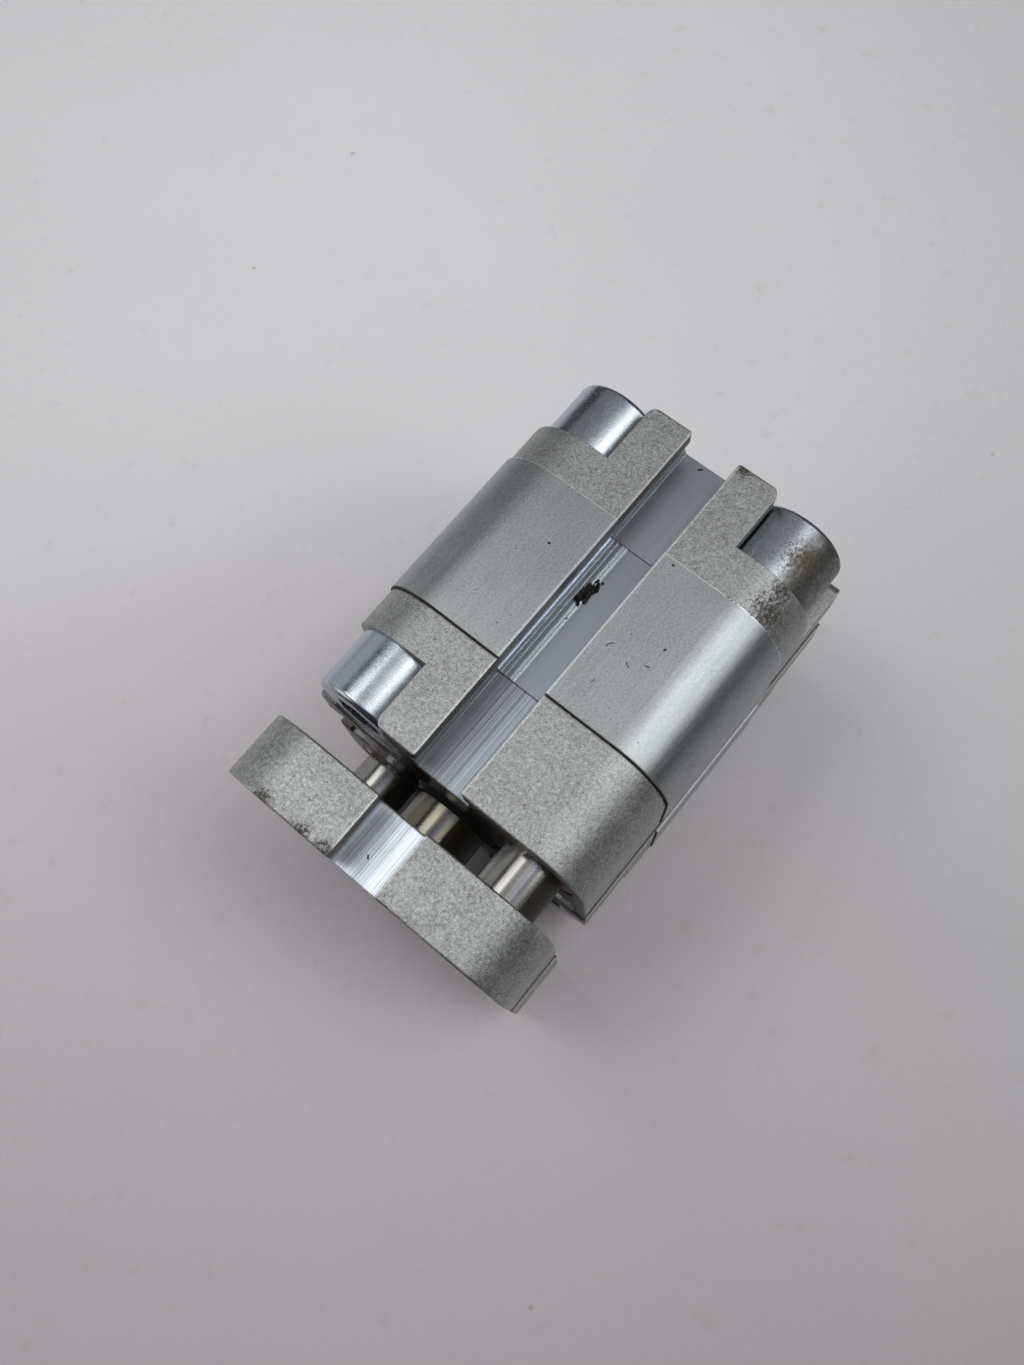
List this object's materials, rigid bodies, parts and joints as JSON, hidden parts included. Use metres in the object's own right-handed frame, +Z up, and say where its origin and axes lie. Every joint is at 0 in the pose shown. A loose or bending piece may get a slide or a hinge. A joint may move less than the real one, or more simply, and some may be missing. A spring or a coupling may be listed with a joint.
{
  "type": "guided compact pneumatic cylinder",
  "caption": "Compact square pneumatic cylinder with sensor slots, collar screws in cut-out corners and a guide plate on a piston rod and guide rods.",
  "frame": {"origin": "centre of the rear mounting face, on the piston axis", "axes": "+X along the stroke towards the guide plate, +Z up through the top sensor slot, as the cylinder lies on its side face"},
  "size_m": [0.0633, 0.041, 0.041],
  "materials": {
    "extruded_aluminium": "satin anodised, drawn grain along the stroke",
    "blasted_aluminium": "bead blasted",
    "zinc_plated_steel": "bright zinc plating",
    "ground_steel": "ground and polished",
    "black_screws": "black oxide",
    "turned_aluminium": "turned",
    "bronze_bush": "sintered bronze",
    "seal_polyurethane": "matt polyurethane",
    "seal_nitrile": "matt nitrile rubber",
    "magnet": "plastic bonded ferrite",
    "band_polymer": "matt acetal"
  },
  "bodies": {
    "housing": {"barrel": "extruded_aluminium", "rear_cap": "blasted_aluminium", "front_cap": "blasted_aluminium", "rear_screw_upper_left": "zinc_plated_steel", "rear_screw_upper_right": "zinc_plated_steel", "rear_screw_lower_left": "zinc_plated_steel", "rear_screw_lower_right": "zinc_plated_steel", "front_screw_upper_left": "zinc_plated_steel", "front_screw_lower_right": "zinc_plated_steel", "rear_o_ring": "seal_nitrile", "front_o_ring": "seal_nitrile", "rear_cushion_ring": "seal_polyurethane", "front_cushion_ring": "seal_polyurethane", "rod_bush": "bronze_bush", "rod_seal": "seal_polyurethane", "rod_wiper": "seal_nitrile", "guide_bush_upper_right": "bronze_bush", "guide_bush_lower_left": "bronze_bush"},
    "piston_assembly": {"rear_piston_disc": "turned_aluminium", "front_piston_disc": "turned_aluminium", "rear_piston_seal": "seal_polyurethane", "front_piston_seal": "seal_polyurethane", "magnet_ring": "magnet", "piston_guide_band": "band_polymer", "piston_nut": "zinc_plated_steel", "piston_rod": "ground_steel", "guide_rod_upper_right": "ground_steel", "guide_rod_lower_left": "ground_steel", "guide_plate": "blasted_aluminium", "plate_screw": "black_screws", "guide_rod_screw_upper_right": "black_screws", "guide_rod_screw_lower_left": "black_screws"}
  },
  "joints": [
    {"name": "piston_stroke", "type": "slide", "parent": "housing", "child": "piston_assembly", "axis": [1, 0, 0], "range_m": [0, 0.01]}
  ]
}
